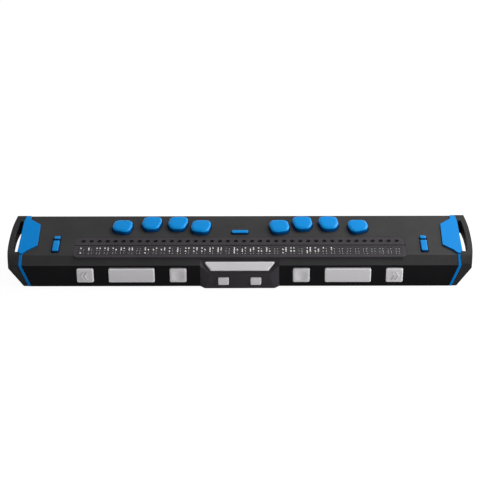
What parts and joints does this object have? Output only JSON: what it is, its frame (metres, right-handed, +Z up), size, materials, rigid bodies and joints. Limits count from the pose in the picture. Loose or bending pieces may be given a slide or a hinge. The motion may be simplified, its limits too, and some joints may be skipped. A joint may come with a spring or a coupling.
{
  "type": "refreshable braille display",
  "caption": "Slim desktop braille display: a line of piezo braille cells with cursor buttons, braille typing keys behind it, reading keys along its front and slotted end caps.",
  "frame": {"origin": "middle of the whole part's box, at the bottom of the rubber feet", "axes": "+X to the reader's right along the braille line, +Y to the rear, +Z up"},
  "size_m": [0.3692, 0.0764, 0.0276],
  "materials": {
    "deck_plastic": "fine matte grain, dark grey",
    "case_plastic": "matte, near black",
    "front_plastic": "satin, near black",
    "bezel_plastic": "matte, mid grey",
    "blue_trim": "satin blue",
    "blue_keys": "semi-gloss blue",
    "grey_keys": "satin light grey",
    "pin_white": "polished white",
    "button_black": "satin black",
    "foot_rubber": "matte rubber",
    "dome_silicone": "translucent white silicone",
    "screw_steel": "bright zinc",
    "reed_brass": "bare metal with a ceramic skin",
    "carrier_plastic": "natural moulding",
    "board_green": "solder mask",
    "battery_wrap": "shrink wrap",
    "tin_can": "tinned"
  },
  "bodies": {
    "casing": {"top_cover": "deck_plastic", "bottom_case": "case_plastic", "left_end_cap": "case_plastic", "right_end_cap": "case_plastic", "front_fascia": "front_plastic", "nose_housing": "front_plastic", "cell_bezel": "bezel_plastic", "cell_caps": "bezel_plastic", "left_trim": "blue_trim", "right_trim": "blue_trim", "power_switch": "button_black", "rubber_feet": "foot_rubber", "router_domes": "dome_silicone", "top_key_domes": "dome_silicone", "front_key_domes": "dome_silicone", "case_screws": "screw_steel", "end_cap_screws": "screw_steel", "board_screws": "screw_steel", "nav_rocker_pins": "screw_steel", "rocker_bar_pins": "screw_steel", "cell_carriers": "carrier_plastic", "cell_backplane": "board_green", "router_board": "board_green", "key_board": "board_green", "nav_boards": "board_green", "space_board": "board_green", "front_board": "board_green", "main_board": "board_green", "battery_pack": "battery_wrap", "usb_c_socket": "tin_can", "wireless_module": "tin_can"},
    "dot_7_key": {"dot_7_key": "blue_keys"},
    "dot_3_key": {"dot_3_key": "blue_keys"},
    "dot_2_key": {"dot_2_key": "blue_keys"},
    "dot_1_key": {"dot_1_key": "blue_keys"},
    "dot_4_key": {"dot_4_key": "blue_keys"},
    "dot_5_key": {"dot_5_key": "blue_keys"},
    "dot_6_key": {"dot_6_key": "blue_keys"},
    "dot_8_key": {"dot_8_key": "blue_keys"},
    "menu_button": {"menu_button": "blue_keys"},
    "left_mode_button": {"left_mode_button": "blue_keys"},
    "left_nav_rocker": {"left_nav_rocker": "blue_keys"},
    "left_panning_button": {"left_panning_button": "grey_keys"},
    "left_rocker_bar": {"left_rocker_bar": "grey_keys"},
    "left_selector_button": {"left_selector_button": "grey_keys"},
    "left_shift_key": {"left_shift_key": "grey_keys"},
    "right_mode_button": {"right_mode_button": "blue_keys"},
    "right_nav_rocker": {"right_nav_rocker": "blue_keys"},
    "right_panning_button": {"right_panning_button": "grey_keys"},
    "right_rocker_bar": {"right_rocker_bar": "grey_keys"},
    "right_selector_button": {"right_selector_button": "grey_keys"},
    "right_shift_key": {"right_shift_key": "grey_keys"},
    "space_bar": {"space_bar": "grey_keys"},
    "router_buttons": {"router_buttons": "button_black"},
    "power_button": {"power_button": "button_black"},
    "raised_reeds": {"raised_reeds": "reed_brass"},
    "raised_dots": {"raised_dots": "pin_white"},
    "lowered_reeds": {"lowered_reeds": "reed_brass"},
    "lowered_dots": {"lowered_dots": "pin_white"}
  },
  "joints": [
    {"name": "dot_7_key_press", "type": "slide", "parent": "casing", "child": "dot_7_key", "axis": [0, 0, -1], "range_m": [0, 0.0015], "stiffness_N_per_m": 400, "springref_m": -0.0005, "deforming": ["top_key_domes"]},
    {"name": "dot_3_key_press", "type": "slide", "parent": "casing", "child": "dot_3_key", "axis": [0, 0, -1], "range_m": [0, 0.0015], "stiffness_N_per_m": 400, "springref_m": -0.0005, "deforming": ["top_key_domes"]},
    {"name": "dot_2_key_press", "type": "slide", "parent": "casing", "child": "dot_2_key", "axis": [0, 0, -1], "range_m": [0, 0.0015], "stiffness_N_per_m": 400, "springref_m": -0.0005, "deforming": ["top_key_domes"]},
    {"name": "dot_1_key_press", "type": "slide", "parent": "casing", "child": "dot_1_key", "axis": [0, 0, -1], "range_m": [0, 0.0015], "stiffness_N_per_m": 400, "springref_m": -0.0005, "deforming": ["top_key_domes"]},
    {"name": "dot_4_key_press", "type": "slide", "parent": "casing", "child": "dot_4_key", "axis": [0, 0, -1], "range_m": [0, 0.0015], "stiffness_N_per_m": 400, "springref_m": -0.0005, "deforming": ["top_key_domes"]},
    {"name": "dot_5_key_press", "type": "slide", "parent": "casing", "child": "dot_5_key", "axis": [0, 0, -1], "range_m": [0, 0.0015], "stiffness_N_per_m": 400, "springref_m": -0.0005, "deforming": ["top_key_domes"]},
    {"name": "dot_6_key_press", "type": "slide", "parent": "casing", "child": "dot_6_key", "axis": [0, 0, -1], "range_m": [0, 0.0015], "stiffness_N_per_m": 400, "springref_m": -0.0005, "deforming": ["top_key_domes"]},
    {"name": "dot_8_key_press", "type": "slide", "parent": "casing", "child": "dot_8_key", "axis": [0, 0, -1], "range_m": [0, 0.0015], "stiffness_N_per_m": 400, "springref_m": -0.0005, "deforming": ["top_key_domes"]},
    {"name": "menu_press", "type": "slide", "parent": "casing", "child": "menu_button", "axis": [0, 0, -1], "range_m": [0, 0.001], "stiffness_N_per_m": 400, "springref_m": -0.0005, "deforming": ["top_key_domes"]},
    {"name": "left_mode_press", "type": "slide", "parent": "casing", "child": "left_mode_button", "axis": [0, 0, -1], "range_m": [0, 0.001], "stiffness_N_per_m": 400, "springref_m": -0.0005, "deforming": ["top_key_domes"]},
    {"name": "left_nav_rock", "type": "hinge", "parent": "casing", "child": "left_nav_rocker", "pos_m": [-0.146, -0.0116, 0.0215], "axis": [1, 0, 0], "range_deg": [-4, 4], "stiffness_Nm_per_rad": 0.06, "deforming": ["top_key_domes"]},
    {"name": "left_panning_press", "type": "slide", "parent": "casing", "child": "left_panning_button", "axis": [0, 1, 0], "range_m": [0, 0.001], "stiffness_N_per_m": 500, "springref_m": -0.0005, "deforming": ["front_key_domes"]},
    {"name": "left_bar_rock", "type": "hinge", "parent": "casing", "child": "left_rocker_bar", "pos_m": [-0.085, -0.0308, 0.0116], "axis": [1, 0, 0], "range_deg": [-4, 4], "stiffness_Nm_per_rad": 0.06, "deforming": ["front_key_domes"]},
    {"name": "left_selector_press", "type": "slide", "parent": "casing", "child": "left_selector_button", "axis": [0, 1, 0], "range_m": [0, 0.001], "stiffness_N_per_m": 500, "springref_m": -0.0005, "deforming": ["front_key_domes"]},
    {"name": "left_shift_press", "type": "slide", "parent": "casing", "child": "left_shift_key", "axis": [0, 1, 0], "range_m": [0, 0.001], "stiffness_N_per_m": 400, "springref_m": -0.0005, "deforming": ["front_key_domes"]},
    {"name": "right_mode_press", "type": "slide", "parent": "casing", "child": "right_mode_button", "axis": [0, 0, -1], "range_m": [0, 0.001], "stiffness_N_per_m": 400, "springref_m": -0.0005, "deforming": ["top_key_domes"]},
    {"name": "right_nav_rock", "type": "hinge", "parent": "casing", "child": "right_nav_rocker", "pos_m": [0.146, -0.0116, 0.0215], "axis": [1, 0, 0], "range_deg": [-4, 4], "stiffness_Nm_per_rad": 0.06, "deforming": ["top_key_domes"]},
    {"name": "right_panning_press", "type": "slide", "parent": "casing", "child": "right_panning_button", "axis": [0, 1, 0], "range_m": [0, 0.001], "stiffness_N_per_m": 500, "springref_m": -0.0005, "deforming": ["front_key_domes"]},
    {"name": "right_bar_rock", "type": "hinge", "parent": "casing", "child": "right_rocker_bar", "pos_m": [0.085, -0.0308, 0.0116], "axis": [1, 0, 0], "range_deg": [-4, 4], "stiffness_Nm_per_rad": 0.06, "deforming": ["front_key_domes"]},
    {"name": "right_selector_press", "type": "slide", "parent": "casing", "child": "right_selector_button", "axis": [0, 1, 0], "range_m": [0, 0.001], "stiffness_N_per_m": 500, "springref_m": -0.0005, "deforming": ["front_key_domes"]},
    {"name": "right_shift_press", "type": "slide", "parent": "casing", "child": "right_shift_key", "axis": [0, 1, 0], "range_m": [0, 0.001], "stiffness_N_per_m": 400, "springref_m": -0.0005, "deforming": ["front_key_domes"]},
    {"name": "space_press", "type": "slide", "parent": "casing", "child": "space_bar", "axis": [0, 0.7071, -0.7071], "range_m": [0, 0.001], "stiffness_N_per_m": 500, "springref_m": -0.0005, "deforming": ["front_key_domes"]},
    {"name": "router_press", "type": "slide", "parent": "casing", "child": "router_buttons", "axis": [0, 0, -1], "range_m": [0, 0.0006], "stiffness_N_per_m": 400, "springref_m": -0.0005, "deforming": ["router_domes"]},
    {"name": "power_press", "type": "slide", "parent": "casing", "child": "power_button", "axis": [0, -1, 0], "range_m": [0, 0.0006], "stiffness_N_per_m": 500, "springref_m": -0.0005},
    {"name": "raised_reeds_bend", "type": "hinge", "parent": "casing", "child": "raised_reeds", "pos_m": [0, 0.0272, 0.01098], "axis": [-1, 0, 0], "range_deg": [-1.27, 0], "stiffness_Nm_per_rad": 20},
    {"name": "raised_dots_lift", "type": "slide", "parent": "casing", "child": "raised_dots", "axis": [0, 0, 1], "range_m": [-0.001, 0]},
    {"name": "lowered_reeds_bend", "type": "hinge", "parent": "casing", "child": "lowered_reeds", "pos_m": [0, 0.0272, 0.01098], "axis": [-1, 0, 0], "range_deg": [0, 1.27], "stiffness_Nm_per_rad": 20},
    {"name": "lowered_dots_lift", "type": "slide", "parent": "casing", "child": "lowered_dots", "axis": [0, 0, 1], "range_m": [0, 0.001]}
  ],
  "couplings": [
    {"joint": "raised_dots_lift", "follows": "raised_reeds_bend", "m_per_rad": 0.045},
    {"joint": "lowered_dots_lift", "follows": "lowered_reeds_bend", "m_per_rad": 0.045}
  ]
}
